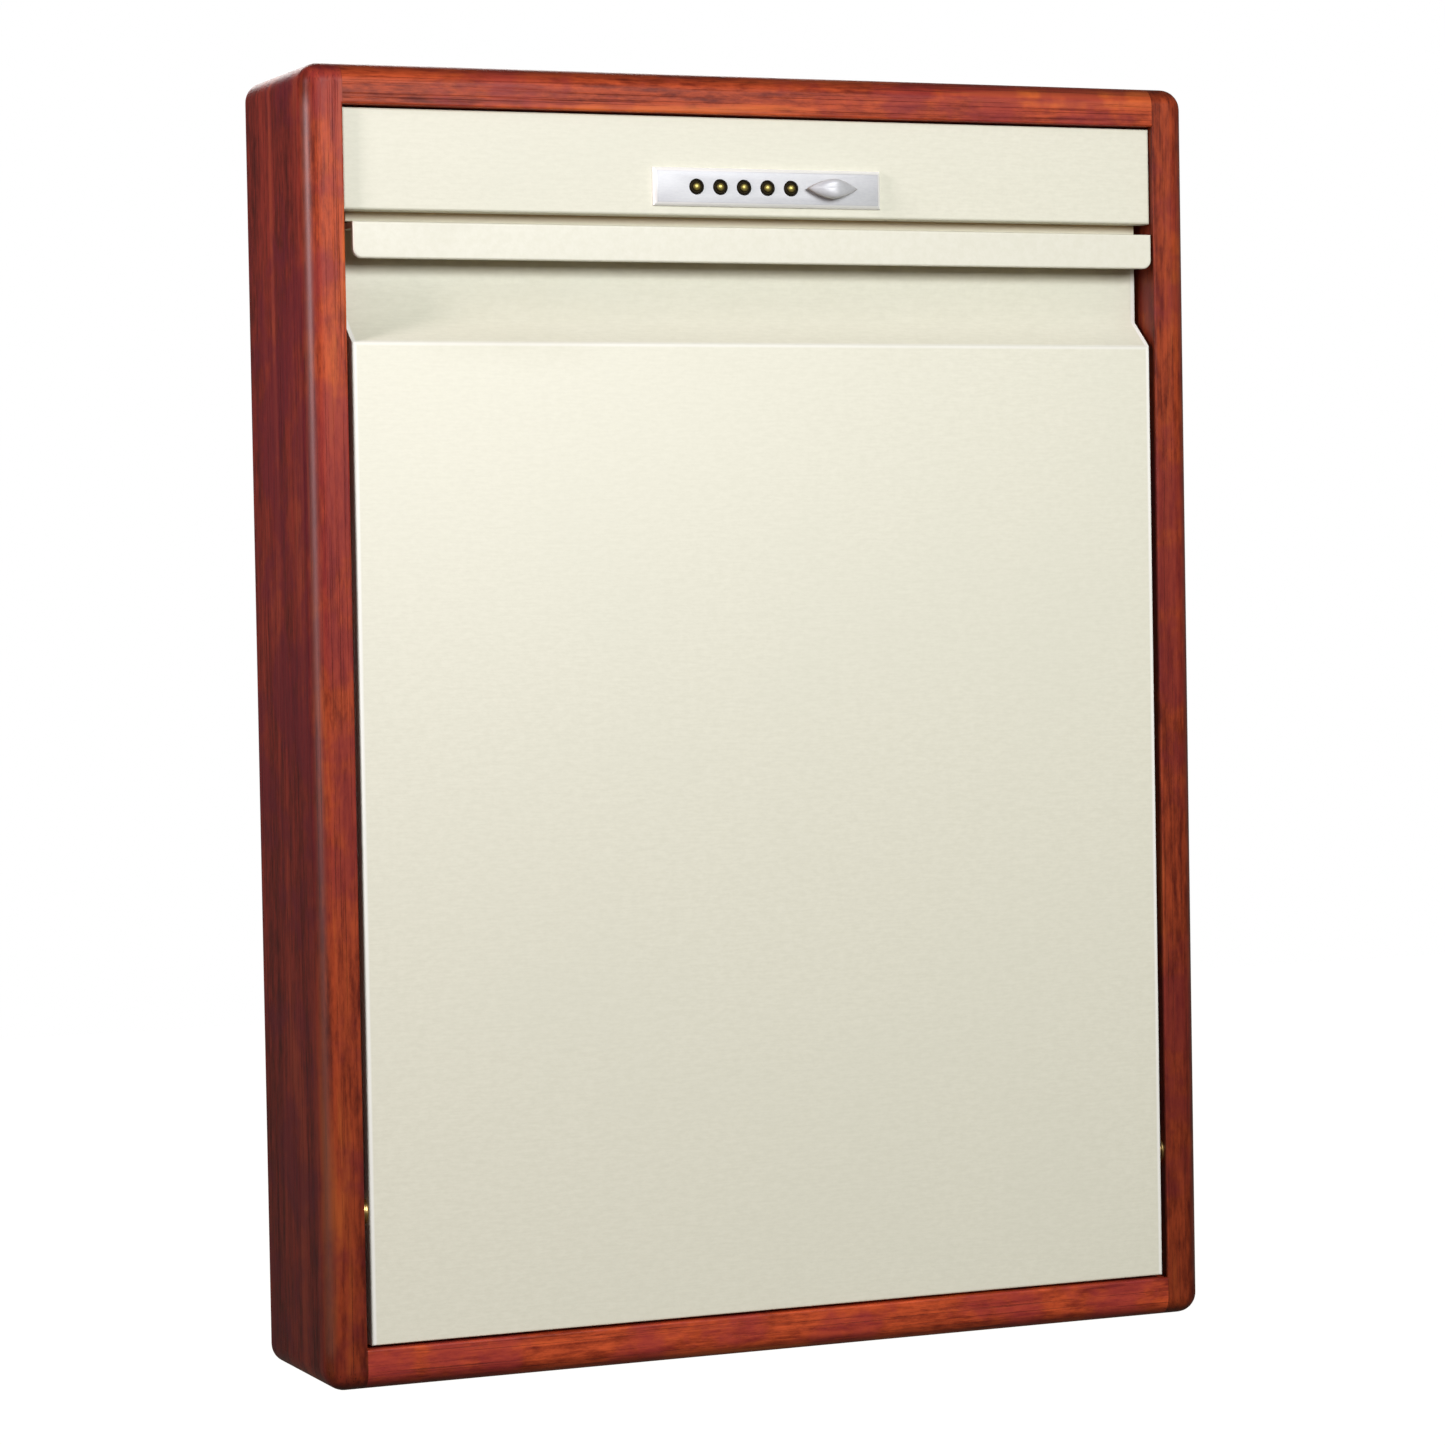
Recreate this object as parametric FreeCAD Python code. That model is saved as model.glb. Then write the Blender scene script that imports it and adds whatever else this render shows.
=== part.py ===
import FreeCAD, Part
import math
import os

# Drop-front wall cabinet: a shallow hardwood case that hangs on a wall, with a fixed fascia that carries
# a five-button mechanical lock, and a door that pivots near its foot and folds down into a desk.
# Millimetres. X runs across, Y into the wall and Z up. The origin is the centre of the four wall-fixing
# holes, on the wall plane, so the cabinet lies at negative Y with its front facing -Y.

# Case of four boards
WIDTH = 457.2
HEIGHT = 609.6
DEPTH = 88.9
BOARD = 19.05
CORNER_ROUND = 10.0
FRONT_ROUND = 9.0
INNER_ARRIS = 1.0
DOWEL_R = 4.0
DOWEL_IN_STILE = 12.0
DOWEL_IN_RAIL = 28.0
DOWEL_FROM_FACE = 25.0
BATTEN_DOWEL_R = 2.5

# Back panel and the two rails that screw to the wall
BACK_THICK = 6.35
RABBET_REACH = 9.525
BACK_GAP = 0.5
WALL_RAIL_THICK = 12.7
WALL_RAIL_TALL = 31.75
WALL_HOLE_R = 2.75
WALL_HOLE_EDGE = 6.35
WALL_SINK = 2.5

# Shelf, stop batten and rubber stops
SHELF_THICK = 9.525
SHELF_DOOR_GAP = 1.4
BATTEN_DEEP = 19.05
BATTEN_TALL = 19.05
BATTEN_TAIL_INSET = 2.5
BUMPER_R = 6.0
BUMPER_THICK = 3.0
STOP_GAP = 0.2
STOP_BLOCK_WIDE = 14.0
STOP_BLOCK_DEEP = 16.0
STOP_BLOCK_TALL = 30.0
STOP_BLOCK_DROP = 7.5

# Fascia
FASCIA_TALL = 46.7
FASCIA_THICK = 9.525
FASCIA_SET_BACK = 3.0
FASCIA_TOP_GAP = 1.15
FASCIA_SIDE_GAP = 0.3
BRACKET_THICK = 1.5
BRACKET_TALL = 38.0
BRACKET_LEG = 25.0
GUARD_THICK = 5.0
GUARD_TALL = 20.0
GUARD_SIDE_GAP = 4.2
GUARD_FIT = 0.4
GUARD_DOOR_GAP = 1.0

# Door
DOOR_THICK = 28.6
DOOR_SET_BACK = 1.0
DOOR_SIDE_GAP = 2.5
DOOR_FOOT_GAP = 1.45
DOOR_HEAD_GAP = 5.4
DOOR_EDGE_ROUND = 1.2
WRITING_PANEL_THICK = 3.0
WRITING_PANEL_INSET = 4.0
RECESS_DEEP = 15.0
RECESS_TALL = 42.3
BEVEL_TALL = 13.2

# Pull rail, an angle along the door's head
PULL_THICK = 3.0
PULL_DROP = 16.8
PULL_PROUD = 0.5
PULL_CORNER = 4.5
PULL_SHIFT = 1.4
PULL_EDGE_ROUND = 0.8

# Pivot hardware
TAIL_CLEAR = 11.95
PIVOT_BEHIND_FACE = 8.0
PIN_R = 3.0
PIN_RUN_FIT = 0.05
BUSH_R = 5.0
BUSH_LONG = 12.0
FLANGE_R = 6.5
FLANGE_THICK = 1.0
WASHER_R = 6.0
WASHER_THICK = 1.0
SLEEVE_LONG = 32.0
PIN_IN_SLEEVE = 22.0
SET_SCREW_R = 2.0
SET_SCREW_IN = 12.0
SET_SCREW_SUNK = 0.5

# Lock
LOCK_MIDDLE = 2.4
PLATE_WIDE = 118.0
PLATE_TALL = 18.3
PLATE_THICK = 2.5
PLATE_BEVEL = 1.8
PLATE_BEVEL_TALL = 1.6
PLATE_ABOVE_FASCIA_FOOT = 4.4
BUTTON_PITCH = 12.2
BUTTON_MIDDLE = -10.5
BUTTON_COUNT = 5
BUTTON_R = 3.4
BUTTON_HOLE_R = 3.8
BUTTON_PROUD = 1.2
BUTTON_STEM_R = 2.0
BUTTON_TRAVEL = 2.5
TURN_X = 34.5
TURN_LONG = 27.4
TURN_TALL = 9.8
TURN_THICK = 6.0
TURN_NECK = 1.3
TURN_GAP = 0.2
TURN_TIP_ROUND = 0.8
TURN_EDGE_ROUND = 1.2
TURN_WASHER_THICK = 1.0
SPINDLE_R = 3.0
CASE_WALL = 1.5
CASE_LEFT = -45.6
CASE_RIGHT = 53.0
CASE_HEADROOM = 3.5
CASE_DEEP = 26.0
CASE_EAR = 58.0
LUG = 4.0
LUG_DEEP = 7.0
COLLAR_GAP = 0.4
COLLAR_THICK = 1.5
SPRING_ROOM = 9.0
SPRING_COIL_R = 2.75
SPRING_WIRE_R = 0.2
SPRING_TURNS = 5
CHAMBER_ABOVE = 8.0
CHAMBER_GAP = 1.0
STEM_IN_CHAMBER = 2.0
STEM_FIT = 0.3
BOLT_TRAVEL = 11.0
BOLT_THICK = 4.0
BOLT_WIDE = 12.0
BOLT_ABOVE_DOOR = 3.9
BOLT_BEHIND_RECESS = 2.9
BOLT_FIT = 0.4
CRANK_PIN_R = 1.5
CRANK_PIN_FIT = 0.35
CRANK_THICK = 2.4
CRANK_BOSS_R = 4.5
CRANK_EYE_R = 2.55
BOLT_HEAD_RIM = 2.2
BOLT_SHOULDER = 2.0
STRIKE_THICK = 1.5
STRIKE_FIT = 0.8
STRIKE_RIM_X = 4.0
STRIKE_RIM_Y = 1.0
MORTISE_DEEP = 9.0

# Screws, as shank radius and length
PANEL_SCREW = (1.5, 16.0)
RAIL_SCREW = (2.0, 42.0)
SHELF_SCREW = (1.75, 25.0)
BLOCK_SCREW = (1.75, 24.0)
BRACKET_SCREW = (1.5, 8.0)
GUARD_SCREW = (1.5, 12.0)
PULL_SCREW = (1.6, 20.0)
PLATE_SCREW = (1.5, 12.5)
COVER_SCREW = (1.0, 5.0)

BOARDS = ["stile_left", "stile_right", "top_rail", "bottom_rail"]
STILES = ["stile_left", "stile_right"]
WALL_RAILS = ["upper_wall_rail", "lower_wall_rail"]

os.makedirs("parts", exist_ok=True)
pieces = {}

# Planes that several pieces share
open_x = WIDTH / 2 - BOARD
open_z = HEIGHT / 2 - BOARD
front = -DEPTH
door_front = front + DOOR_SET_BACK
door_back = door_front + DOOR_THICK
door_x = open_x - DOOR_SIDE_GAP
door_foot = -open_z + DOOR_FOOT_GAP
fascia_front = front + FASCIA_SET_BACK
fascia_back = fascia_front + FASCIA_THICK
fascia_top = open_z - FASCIA_TOP_GAP
fascia_foot = fascia_top - FASCIA_TALL
door_head = fascia_foot - DOOR_HEAD_GAP
recess_face = door_front + RECESS_DEEP
panel_face = door_back - WRITING_PANEL_THICK
pivot_y = door_front + PIVOT_BEHIND_FACE
tail_long = -BACK_THICK - TAIL_CLEAR - pivot_y
pivot_z = door_foot + tail_long
open_door_top = pivot_z + (door_back - pivot_y)


def point(x, y, z):
    return FreeCAD.Vector(x, y, z)


def block(x0, x1, y0, y1, z0, z1):
    """A rectangular block between two corners."""
    return Part.makeBox(x1 - x0, y1 - y0, z1 - z0, point(x0, y0, z0))


def rod(radius, start, end):
    """A round bar from one point to another."""
    run = end - start
    return Part.makeCylinder(radius, run.Length, start, run)


def ring(outer, inner, start, end):
    """A round bar with a hole along it."""
    return rod(outer, start, end).cut(rod(inner, start, end))


def fasten(name, size, drilled, places):
    """Countersunk screws with a square drive, as one node, and their holes in the pieces that they hold.
    Each place is the middle of a head's flat and the way that the screw runs from there."""
    radius, length = size
    sink = 0.9 * radius
    screws, holes = [], []
    for head, direction in places:
        heading = point(*direction)
        hole = Part.makeCone(radius + sink, radius, sink, head, heading)
        hole = hole.fuse(rod(radius, head + heading * sink, head + heading * length))
        drive = block(-radius / 2, radius / 2, -radius / 2, radius / 2, 0, sink)
        drive.Placement = FreeCAD.Placement(head, FreeCAD.Rotation(point(0, 0, 1), heading))
        screws.append(hole.cut(drive))
        holes.append(hole)
    pieces[name] = group(screws)
    drill(drilled, group(holes))


def mirrored_places(places):
    """Right-hand screw places together with their mirror images."""
    return places + [(point(-head.x, head.y, head.z), (-way[0], way[1], way[2])) for head, way in places]


def group(shapes):
    """Separate like pieces that share one node."""
    return Part.makeCompound(shapes)


def rounded(shape, radius, chosen):
    """The shape with the chosen edges rounded."""
    edges = [edge for edge in shape.Edges if chosen(edge.BoundBox)]
    return shape.makeFillet(radius, edges)


def both_sides(name, shape):
    """Keeps a right-hand piece, and its mirror image on the left."""
    pieces[name + "_right"] = shape
    pieces[name + "_left"] = shape.mirror(point(0, 0, 0), point(1, 0, 0))


def mirrored(shapes):
    """Right-hand shapes together with their mirror images."""
    return shapes + [shape.mirror(point(0, 0, 0), point(1, 0, 0)) for shape in shapes]


def spaced(half, count):
    """Places spread evenly from -half to half."""
    return [half * (2 * i / (count - 1) - 1) for i in range(count)]


def drill(names, tool):
    """Cuts one tool out of several pieces."""
    for name in names:
        pieces[name] = pieces[name].cut(tool)


def make_case():
    """Four boards cut from one ring, so that the rounded edges run on from board to board."""
    solid = block(-WIDTH / 2, WIDTH / 2, front, 0, -HEIGHT / 2, HEIGHT / 2)
    solid = rounded(solid, CORNER_ROUND, lambda b: b.YLength > DEPTH / 2)
    edge_round = min(FRONT_ROUND, 0.95 * CORNER_ROUND)
    solid = rounded(solid, edge_round, lambda b: b.YMax < front + 0.01)
    solid = solid.cut(block(-open_x, open_x, front - 1, 1, -open_z, open_z))
    solid = rounded(solid, INNER_ARRIS, lambda b: b.YMax < front + 0.01 and b.XMin > -open_x - 0.01
                    and b.XMax < open_x + 0.01 and abs(b.Center.z) < open_z + 0.01)
    reach_x, reach_z = open_x + RABBET_REACH, open_z + RABBET_REACH
    solid = solid.cut(block(-reach_x, reach_x, -BACK_THICK, 1, -reach_z, reach_z))

    right = block(open_x, WIDTH / 2 + 1, front - 1, 1, -HEIGHT / 2 - 1, HEIGHT / 2 + 1)
    both_sides("stile", solid.common(right))
    top = block(-open_x, open_x, front - 1, 1, open_z, HEIGHT / 2 + 1)
    pieces["top_rail"] = solid.common(top)
    pieces["bottom_rail"] = solid.common(top.mirror(point(0, 0, 0), point(0, 0, 1)))

    dowels = []
    for z in (open_z + BOARD / 2, -open_z - BOARD / 2):
        for y in (front + DOWEL_FROM_FACE, -DOWEL_FROM_FACE):
            in_rail, in_stile = point(open_x - DOWEL_IN_RAIL, y, z), point(open_x + DOWEL_IN_STILE, y, z)
            dowels.append(rod(DOWEL_R, in_rail, in_stile))
    pieces["corner_dowels"] = group(mirrored(dowels))
    drill(BOARDS, pieces["corner_dowels"])


def make_back():
    """A thin panel let into the back, and two rails in front of it that carry the cabinet's weight."""
    reach_x, reach_z = open_x + RABBET_REACH - BACK_GAP, open_z + RABBET_REACH - BACK_GAP
    pieces["back_panel"] = block(-reach_x, reach_x, -BACK_THICK, 0, -reach_z, reach_z)
    rail_front = -BACK_THICK - WALL_RAIL_THICK
    rail_foot = open_z - WALL_RAIL_TALL
    upper = block(-open_x, open_x, rail_front, -BACK_THICK, rail_foot, open_z)
    pieces["upper_wall_rail"] = upper
    pieces["lower_wall_rail"] = upper.mirror(point(0, 0, 0), point(0, 0, 1))

    hole_x, hole_z = open_x - WALL_HOLE_EDGE, open_z - WALL_RAIL_TALL / 2
    for x in (-hole_x, hole_x):
        for z in (-hole_z, hole_z):
            hole = rod(WALL_HOLE_R, point(x, rail_front - 1, z), point(x, 1, z))
            mouth = point(x, rail_front, z)
            sink = Part.makeCone(WALL_HOLE_R + WALL_SINK, WALL_HOLE_R, WALL_SINK, mouth, point(0, 1, 0))
            drill(WALL_RAILS + ["back_panel"], hole.fuse(sink))

    edge_x, edge_z = open_x + RABBET_REACH / 2, open_z + RABBET_REACH / 2
    edges = [(x, z) for z in spaced(0.8 * open_z, 4) for x in (-edge_x, edge_x)]
    edges += [(x, z) for x in spaced(0.75 * open_x, 4) for z in (-edge_z, edge_z)]
    fasten("back_panel_screws", PANEL_SCREW, BOARDS + ["back_panel"],
           [(point(x, 0, z), (0, -1, 0)) for x, z in edges])
    middle_y = -BACK_THICK - WALL_RAIL_THICK / 2
    heads = [(x, up) for x in spaced(0.5 * open_x, 3) for up in (-1, 1)]
    fasten("wall_rail_screws", RAIL_SCREW, WALL_RAILS + ["top_rail", "bottom_rail"],
           [(point(x, middle_y, up * rail_foot), (0, 0, up)) for x, up in heads])


def make_shelf():
    """The shelf that things stand on, over a batten that the foot of the open door comes up against."""
    tail_end = pivot_y + tail_long
    batten_back = tail_end - BATTEN_TAIL_INSET
    batten_front = batten_back - BATTEN_DEEP
    middle = (batten_front + batten_back) / 2
    batten_foot = open_door_top + STOP_GAP + BUMPER_THICK
    batten_top = batten_foot + BATTEN_TALL
    pieces["stop_batten"] = block(-open_x, open_x, batten_front, batten_back, batten_foot, batten_top)

    dowels = []
    for up in (0.28, 0.72):
        z = batten_foot + up * BATTEN_TALL
        in_batten = point(open_x - DOWEL_IN_RAIL, middle, z)
        in_stile = point(open_x + DOWEL_IN_STILE, middle, z)
        dowels.append(rod(BATTEN_DOWEL_R, in_batten, in_stile))
    pieces["batten_dowels"] = group(mirrored(dowels))
    drill(STILES + ["stop_batten"], pieces["batten_dowels"])

    shelf_top = batten_top + SHELF_THICK
    shelf_front = door_back + SHELF_DOOR_GAP
    pieces["shelf"] = block(-open_x, open_x, shelf_front, -BACK_THICK, batten_top, shelf_top)
    fasten("shelf_screws", SHELF_SCREW, ["shelf", "stop_batten"],
           [(point(x, middle, shelf_top), (0, 0, -1)) for x in spaced(0.8 * open_x, 4)])

    bumper_foot = batten_foot - BUMPER_THICK
    bumpers = [rod(BUMPER_R, point(x, middle, bumper_foot), point(x, middle, batten_foot))
               for x in spaced(0.7 * open_x, 4)]
    pieces["stop_bumpers"] = group(bumpers)


def make_closing_stops():
    """A block on each stile, with a rubber bumper that the closed door rests on."""
    block_front = door_back + STOP_GAP + BUMPER_THICK
    block_back = block_front + STOP_BLOCK_DEEP
    top = door_head - STOP_BLOCK_DROP
    inner = open_x - STOP_BLOCK_WIDE
    both_sides("closing_stop", block(inner, open_x, block_front, block_back, top - STOP_BLOCK_TALL, top))
    middle_y = (block_front + block_back) / 2
    places = [(point(inner, middle_y, top - share * STOP_BLOCK_TALL), (1, 0, 0)) for share in (0.2, 0.8)]
    fasten("closing_stop_screws", BLOCK_SCREW, STILES + ["closing_stop_left", "closing_stop_right"],
           mirrored_places(places))
    x, z = (inner + open_x) / 2, top - STOP_BLOCK_TALL / 2
    pieces["closing_bumpers"] = group(mirrored([
        rod(BUMPER_R, point(x, block_front - BUMPER_THICK, z), point(x, block_front, z))]))


def make_fascia():
    """The fixed board over the door, held behind by an angle bracket at each end, and its guard strip."""
    half = open_x - FASCIA_SIDE_GAP
    fascia = block(-half, half, fascia_front, fascia_back, fascia_foot, fascia_top)
    pieces["fascia"] = rounded(fascia, DOOR_EDGE_ROUND, lambda b: b.YMax < fascia_front + 0.01)

    middle_z = (fascia_foot + fascia_top) / 2
    low, high = middle_z - BRACKET_TALL / 2, middle_z + BRACKET_TALL / 2
    inner_face = half - BRACKET_THICK
    along_stile = block(inner_face, half, fascia_back, fascia_back + BRACKET_LEG, low, high)
    behind_fascia = block(half - BRACKET_LEG, half, fascia_back, fascia_back + BRACKET_THICK, low, high)
    spacer = block(half, open_x, fascia_back, fascia_back + BRACKET_LEG, low, high)
    both_sides("fascia_bracket", along_stile.fuse(behind_fascia).fuse(spacer).removeSplitter())

    # A strip on the fascia's back hangs down behind the gap over the door, in front of the latch bolt.
    guard_x, guard_foot = open_x - GUARD_SIDE_GAP, door_head + GUARD_DOOR_GAP
    guard_back = fascia_back + GUARD_THICK
    guard = block(-guard_x, guard_x, fascia_back, guard_back, guard_foot, guard_foot + GUARD_TALL)
    bracket_room = block(half - BRACKET_LEG - GUARD_FIT, open_x, fascia_back, guard_back,
                         low - GUARD_FIT, high)
    pieces["guard_strip"] = guard.cut(group(mirrored([bracket_room])))
    places = []
    for z in (middle_z - BRACKET_TALL / 3, middle_z + BRACKET_TALL / 3):
        places.append((point(half - 0.6 * BRACKET_LEG, fascia_back + BRACKET_THICK, z), (0, -1, 0)))
        places.append((point(inner_face, fascia_back + 0.6 * BRACKET_LEG, z), (1, 0, 0)))
    held = STILES + ["fascia", "fascia_bracket_left", "fascia_bracket_right"]
    fasten("fascia_screws", BRACKET_SCREW, held, mirrored_places(places))
    guard_heads = [(point(share * open_x, guard_back, guard_foot + 0.7 * GUARD_TALL), (0, -1, 0))
                   for share in (0.4, 0.8)]
    fasten("guard_screws", GUARD_SCREW, ["guard_strip", "fascia"], mirrored_places(guard_heads))


def make_door():
    """A board routed with a bevelled finger recess across its head, and a writing panel on its back."""
    board_head = door_head - PULL_THICK
    recess_foot = door_head - RECESS_TALL
    bevel_foot = recess_foot - BEVEL_TALL
    outline = [
        (door_front, door_foot), (door_front, bevel_foot), (recess_face, recess_foot),
        (recess_face, board_head), (panel_face, board_head), (panel_face, door_foot),
        (door_front, door_foot),
    ]
    wire = Part.makePolygon([point(-door_x, y, z) for y, z in outline])
    board = Part.Face(wire).extrude(point(2 * door_x, 0, 0))
    pieces["door_board"] = rounded(
        board, DOOR_EDGE_ROUND, lambda b: b.YMax < door_front + 0.01 and b.Center.z < bevel_foot - 1)
    panel_x = door_x - WRITING_PANEL_INSET
    panel_foot = door_foot + WRITING_PANEL_INSET
    pieces["writing_panel"] = block(-panel_x, panel_x, panel_face, door_back, panel_foot, board_head)


def make_pull_rail():
    """An angle screwed down on the door's head. Its lip hangs in front of the recess, clear of it."""
    lip_front, lip_foot = door_front - PULL_PROUD, door_head - PULL_DROP
    left, right = PULL_SHIFT - door_x, PULL_SHIFT + door_x
    web = block(left, right, lip_front, door_back, door_head - PULL_THICK, door_head)
    lip = block(left, right, lip_front, lip_front + PULL_THICK, lip_foot, door_head)
    lip = rounded(lip, PULL_CORNER, lambda b: b.YLength > PULL_THICK - 0.1 and b.ZMax < lip_foot + 0.01)
    rail = web.fuse(lip).removeSplitter()
    pieces["pull_rail"] = rounded(rail, PULL_EDGE_ROUND, lambda b: b.YMax < lip_front + 0.01)

    middle = (recess_face + panel_face) / 2
    strike_x = TURN_X + BOLT_WIDE / 2
    strike_clear = BOLT_WIDE / 2 + STRIKE_FIT + STRIKE_RIM_X + 2 * PULL_SCREW[0]
    places = [x for x in spaced(0.9 * door_x, 6) if abs(x - strike_x) > strike_clear]
    fasten("pull_rail_screws", PULL_SCREW, ["pull_rail", "door_board"],
           [(point(x, middle, door_head), (0, 0, -1)) for x in places])


def make_strike():
    """A steel strike under the pull rail, over a mortise that the latch bolt drops into."""
    x0, x1 = TURN_X - STRIKE_FIT, TURN_X + BOLT_WIDE + STRIKE_FIT
    y0 = recess_face + BOLT_BEHIND_RECESS - STRIKE_FIT
    y1 = y0 + BOLT_THICK + 2 * STRIKE_FIT
    plate_top = door_head - PULL_THICK
    plate_foot = plate_top - STRIKE_THICK
    slot = block(x0, x1, y0, y1, plate_foot - MORTISE_DEEP, door_head + 1)
    plate = block(x0 - STRIKE_RIM_X, x1 + STRIKE_RIM_X, y0 - STRIKE_RIM_Y, y1 + STRIKE_RIM_Y,
                  plate_foot, plate_top)
    drill(["door_board"], plate)
    pieces["strike_plate"] = plate
    drill(["door_board", "pull_rail", "strike_plate"], slot)


def make_pivots():
    """Each pin runs in a flanged bush in the stile. A sleeve in the door holds it, under a set screw."""
    def along(x):
        return point(x, pivot_y, pivot_z)

    bush = ring(BUSH_R, PIN_R + PIN_RUN_FIT, along(open_x), along(open_x + BUSH_LONG))
    flange = ring(FLANGE_R, PIN_R + PIN_RUN_FIT, along(open_x - FLANGE_THICK), along(open_x))
    both_sides("pivot_bush", bush.fuse(flange).removeSplitter())
    both_sides("pivot_washer", ring(WASHER_R, PIN_R, along(door_x), along(door_x + WASHER_THICK)))
    both_sides("pivot_pin", rod(PIN_R, along(door_x - PIN_IN_SLEEVE), along(open_x + BUSH_LONG - 1)))
    both_sides("pivot_sleeve", ring(BUSH_R, PIN_R, along(door_x - SLEEVE_LONG), along(door_x)))

    def behind(y):
        return point(door_x - SET_SCREW_IN, y, pivot_z)

    head = door_back - SET_SCREW_SUNK
    set_screw = rod(SET_SCREW_R, behind(pivot_y + PIN_R), behind(head))
    socket = rod(SET_SCREW_R / 2, behind(head - SET_SCREW_R), behind(head))
    access = rod(SET_SCREW_R, behind(pivot_y + PIN_R), behind(door_back + 1))
    pieces["pivot_set_screws"] = group(mirrored([set_screw.cut(socket)]))

    bush_hole = rod(BUSH_R, along(open_x - 1), along(open_x + BUSH_LONG))
    sleeve_hole = rod(BUSH_R, along(door_x - SLEEVE_LONG), along(door_x + 1))
    drill(STILES, group(mirrored([bush_hole])))
    drill(["door_board"], group(mirrored([sleeve_hole])))
    bored = ["door_board", "writing_panel", "pivot_sleeve_left", "pivot_sleeve_right"]
    drill(bored, group(mirrored([access])))


def make_lock():
    """A push-button cabinet lock: a plate in front of the fascia, and a shallow case behind it."""
    lock_z = fascia_foot + PLATE_ABOVE_FASCIA_FOOT + PLATE_TALL / 2
    plate_front = fascia_front - PLATE_THICK
    half_x, half_z = PLATE_WIDE / 2, PLATE_TALL / 2
    bevel_back = plate_front + PLATE_BEVEL_TALL
    left, right = LOCK_MIDDLE - half_x, LOCK_MIDDLE + half_x
    slab = block(left, right, bevel_back, fascia_front, lock_z - half_z, lock_z + half_z)
    bevelled = Part.makeWedge(
        left + PLATE_BEVEL, plate_front, lock_z - half_z + PLATE_BEVEL, lock_z - half_z, left,
        right - PLATE_BEVEL, bevel_back, lock_z + half_z - PLATE_BEVEL, lock_z + half_z, right)
    pieces["lock_plate"] = slab.fuse(bevelled).removeSplitter()

    # The case is a tray with two ears that lie against the fascia's back, closed by a cover.
    bolt_reach = BOLT_TRAVEL / 2 + CRANK_PIN_R + CRANK_PIN_FIT + BOLT_HEAD_RIM
    case_foot = lock_z - bolt_reach - BOLT_FIT - CASE_WALL
    case_top = lock_z + bolt_reach + CASE_HEADROOM + CASE_WALL
    inner_front = fascia_back + CASE_WALL
    case_back = fascia_back + CASE_DEEP
    outer = block(CASE_LEFT, CASE_RIGHT, fascia_back, case_back, case_foot, case_top)
    hollow = block(CASE_LEFT + CASE_WALL, CASE_RIGHT - CASE_WALL, inner_front, case_back + 1,
                   case_foot + CASE_WALL, case_top - CASE_WALL)
    ear_left, ear_right = LOCK_MIDDLE - CASE_EAR, LOCK_MIDDLE + CASE_EAR
    ears = block(ear_left, ear_right, fascia_back, inner_front, lock_z - half_z / 2, lock_z + half_z / 2)
    drill(["guard_strip"], block(ear_left - GUARD_FIT, ear_right + GUARD_FIT, fascia_back,
                                 case_back, case_foot - GUARD_FIT, case_top))
    cover_back = case_back + CASE_WALL
    pieces["lock_cover"] = block(CASE_LEFT, CASE_RIGHT, case_back, cover_back, case_foot, case_top)
    lug_x = [CASE_LEFT + CASE_WALL + LUG / 2, CASE_RIGHT - CASE_WALL - LUG / 2]
    lug_z = case_top - CASE_WALL - LUG / 2
    lug_foot, lug_top = lug_z - LUG / 2, lug_z + LUG / 2
    lug_front = case_back - LUG_DEEP
    lugs = [block(x - LUG / 2, x + LUG / 2, lug_front, case_back, lug_foot, lug_top) for x in lug_x]
    pieces["lock_case"] = outer.cut(hollow).fuse([ears] + lugs).removeSplitter()
    fasten("cover_screws", COVER_SCREW, ["lock_case", "lock_cover"],
           [(point(x, cover_back, lug_z), (0, -1, 0)) for x in lug_x])
    ear_middles = [(ear_left + CASE_LEFT) / 2, (ear_right + CASE_RIGHT) / 2]
    fasten("lock_screws", PLATE_SCREW, ["lock_case", "fascia", "lock_plate"],
           [(point(x, inner_front, lock_z), (0, -1, 0)) for x in ear_middles])

    # The code chamber takes the button stems. Its tumblers are a sealed unit.
    middle = (BUTTON_COUNT - 1) / 2
    button_xs = [BUTTON_MIDDLE + (i - middle) * BUTTON_PITCH for i in range(BUTTON_COUNT)]
    collar_front = inner_front + COLLAR_GAP
    collar_back = collar_front + COLLAR_THICK
    chamber_front = collar_back + SPRING_ROOM
    chamber_back = case_back - CHAMBER_GAP
    pieces["code_chamber"] = block(
        CASE_LEFT + CASE_WALL, button_xs[-1] + BUTTON_PITCH / 2, chamber_front, chamber_back,
        case_foot + CASE_WALL, lock_z + CHAMBER_ABOVE)
    stem_back = chamber_front + STEM_IN_CHAMBER
    bore_back = stem_back + BUTTON_TRAVEL + COLLAR_GAP
    stem_hole_r = BUTTON_STEM_R + STEM_FIT

    button_face = plate_front - BUTTON_PROUD
    for number, x in enumerate(button_xs, 1):
        def at(y):
            return point(x, y, lock_z)

        cap = rod(BUTTON_R, at(button_face), at(fascia_front))
        cap = rounded(cap, BUTTON_PROUD, lambda b: b.YMax < button_face + 0.01)
        stem = rod(BUTTON_STEM_R, at(fascia_front), at(stem_back))
        collar = rod(BUTTON_R, at(collar_front), at(collar_back))
        pieces[f"button_{number}"] = cap.fuse([stem, collar]).removeSplitter()
        spring_long = SPRING_ROOM - 2 * STEM_FIT
        pieces[f"button_spring_{number}"] = make_spring(at(collar_back + STEM_FIT), spring_long)
        drill(["lock_plate"], rod(BUTTON_HOLE_R, at(plate_front - 1), at(fascia_front + 1)))
        drill(["fascia"], rod(BUTTON_HOLE_R, at(fascia_front - 1), at(fascia_back + 1)))
        drill(["lock_case"], rod(stem_hole_r, at(fascia_back - 1), at(inner_front + 1)))
        drill(["code_chamber"], rod(stem_hole_r, at(chamber_front - 1), at(bore_back)))

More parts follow.
